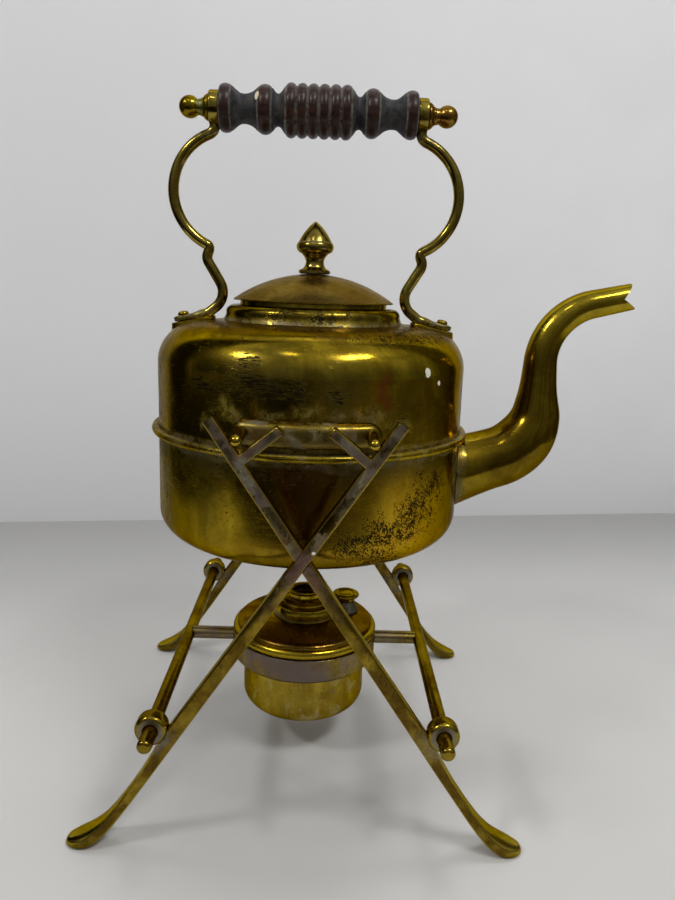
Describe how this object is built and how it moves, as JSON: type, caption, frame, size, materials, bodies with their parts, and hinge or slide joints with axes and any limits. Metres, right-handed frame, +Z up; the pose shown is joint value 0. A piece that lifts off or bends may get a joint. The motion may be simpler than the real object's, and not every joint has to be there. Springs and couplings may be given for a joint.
{
  "type": "spirit kettle on stand",
  "caption": "Brass kettle with a swan-neck spout and turned grip, hung by pins in a stand of crossed club-footed legs above a lidded spirit burner.",
  "frame": {"origin": "centre of the stand on the floor, midway between the four club feet", "axes": "+X towards the spout's side, -Y the front frame, +Z up; the lid, body and burner share the Z axis"},
  "size_m": [0.2474, 0.2016, 0.319],
  "materials": {
    "body_brass": "worn polish with dark tarnish and pitting",
    "handle_brass": "brown tarnish",
    "turned_wood": "dark turned wood, greyed in the grooves",
    "inner_rod": "plain",
    "knob_brass": "worn polish with verdigris in the necks",
    "lid_brass": "worn polish",
    "stand_brass": "grey-violet tarnish, bright edges",
    "burner_brass": "worn polish with brown patches",
    "wick_cotton": "cotton"
  },
  "bodies": {
    "stand": {"front_right_leg": "stand_brass", "front_right_eye": "stand_brass", "front_right_prong": "stand_brass", "front_left_leg": "stand_brass", "front_left_eye": "stand_brass", "front_left_prong": "stand_brass", "rear_right_leg": "stand_brass", "rear_right_eye": "stand_brass", "rear_right_prong": "stand_brass", "rear_left_leg": "stand_brass", "rear_left_eye": "stand_brass", "rear_left_prong": "stand_brass", "right_stretcher": "stand_brass", "left_stretcher": "stand_brass", "holder_ring": "stand_brass", "right_holder_rod": "stand_brass", "left_holder_rod": "stand_brass"},
    "kettle": {"kettle_pan": "body_brass", "kettle_top": "body_brass", "body_belt": "body_brass", "lid_collar": "body_brass", "spout": "body_brass", "front_lug_bar": "body_brass", "rear_lug_bar": "body_brass", "tilt_pins": "body_brass", "rest_pins": "body_brass", "right_handle_arm": "handle_brass", "left_handle_arm": "handle_brass", "right_foot_plate": "handle_brass", "left_foot_plate": "handle_brass", "handle_rivets": "handle_brass", "grip": "turned_wood", "grip_rod": "inner_rod", "right_washer": "knob_brass", "left_washer": "knob_brass", "right_knob": "knob_brass", "left_knob": "knob_brass"},
    "lid": {"lid_cover": "lid_brass", "lid_skirt": "lid_brass", "lid_finial": "lid_brass"},
    "burner": {"burner_cup": "burner_brass", "burner_cover": "burner_brass", "burner_hub": "burner_brass", "wick_tube": "burner_brass", "wick": "wick_cotton", "filler_boss": "burner_brass"},
    "cap": {"filler_cap": "burner_brass"}
  },
  "joints": [
    {"name": "kettle_tilt", "type": "hinge", "parent": "stand", "child": "kettle", "pos_m": [0.02571, 0, 0.175], "axis": [0, 1, 0], "range_deg": [0, 45]},
    {"name": "lid_lift", "type": "slide", "parent": "kettle", "child": "lid", "axis": [0, 0, 1], "range_m": [0, 0.03]},
    {"name": "burner_lift", "type": "slide", "parent": "stand", "child": "burner", "axis": [0, 0, 1], "range_m": [0, 0.018]},
    {"name": "filler_cap_lift", "type": "slide", "parent": "burner", "child": "cap", "axis": [0, 0, 1], "range_m": [0, 0.006]}
  ]
}
